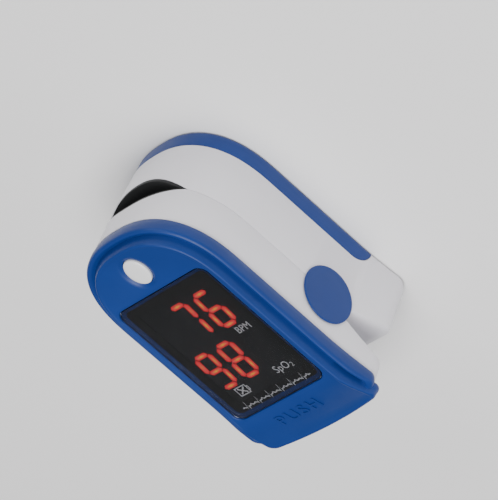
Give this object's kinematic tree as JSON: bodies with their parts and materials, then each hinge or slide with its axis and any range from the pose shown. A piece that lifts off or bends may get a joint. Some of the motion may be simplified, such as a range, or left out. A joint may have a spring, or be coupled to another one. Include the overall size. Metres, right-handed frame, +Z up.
{
  "type": "fingertip pulse oximeter",
  "caption": "Sprung clip for a fingertip with a lit display on the upper half, silicone pads, a power button and two cells under a sliding cover.",
  "frame": {"origin": "centre of the bounding box's bottom face, on the underside of the battery cover", "axes": "+Z up, out of the display; +Y from the finger opening towards the end that is squeezed; +X across the clip, along the hinge axle"},
  "size_m": [0.0362, 0.0612, 0.0317],
  "materials": {
    "blue_shell": "fine moulded texture",
    "white_shell": "fine moulded satin",
    "tray_white": "moulded",
    "button_white": "satin gloss",
    "silicone": "matte moulded silicone",
    "smoked_window": "polished, printed black border",
    "display_module": "filled diffuser",
    "clear_lens": "polished",
    "circuit_laminate": "solder mask over glass laminate",
    "chip_resin": "moulded resin",
    "steel": "drawn wire and turned steel",
    "nickel_contact": "nickel plated",
    "cell_sleeve": "printed sleeve over a steel can",
    "amber_film": "polyimide film"
  },
  "bodies": {
    "battery_half": {"lower_shell": "white_shell", "battery_tray": "tray_white", "lower_finger_pad": "silicone", "emitter_board": "circuit_laminate", "emitter_led": "clear_lens", "emitter_window": "clear_lens", "battery_left": "cell_sleeve", "battery_right": "cell_sleeve", "link_contact": "nickel_contact", "negative_contact": "nickel_contact", "positive_contact": "nickel_contact", "contact_spring_rear": "nickel_contact", "contact_spring_front": "nickel_contact", "hinge_axle": "steel", "torsion_spring_left": "steel", "torsion_spring_right": "steel", "flex_cable": "amber_film", "pivot_cap_left": "blue_shell", "pivot_cap_right": "blue_shell", "tray_screw_left": "steel", "tray_screw_right": "steel"},
    "display_half": {"top_cover": "blue_shell", "display_window": "smoked_window", "led_display": "display_module", "upper_shell": "white_shell", "upper_finger_pad": "silicone", "circuit_board": "circuit_laminate", "microcontroller": "chip_resin", "flex_connector": "chip_resin", "photodiode": "chip_resin", "sensor_window": "clear_lens", "tact_switch": "chip_resin", "cover_screw_left": "steel", "cover_screw_right": "steel", "board_screw_left": "steel", "board_screw_right": "steel"},
    "button": {"power_button": "button_white", "switch_plunger": "amber_film"},
    "battery_door": {"battery_cover": "blue_shell"}
  },
  "joints": [
    {"name": "jaw_hinge", "type": "hinge", "parent": "battery_half", "child": "display_half", "pos_m": [0, 0.00985, 0.01775], "axis": [-1, 0, 0], "range_deg": [0, 25], "stiffness_Nm_per_rad": 0.13, "springref_deg": -14.32, "deforming": ["torsion_spring_left", "torsion_spring_right", "flex_cable"]},
    {"name": "power_press", "type": "slide", "parent": "display_half", "child": "button", "axis": [0, 0, -1], "range_m": [0, 0.0006], "stiffness_N_per_m": 2500, "springref_m": -0.0002},
    {"name": "cover_slide", "type": "slide", "parent": "battery_half", "child": "battery_door", "axis": [0, -1, 0], "range_m": [0, 0.046]}
  ]
}
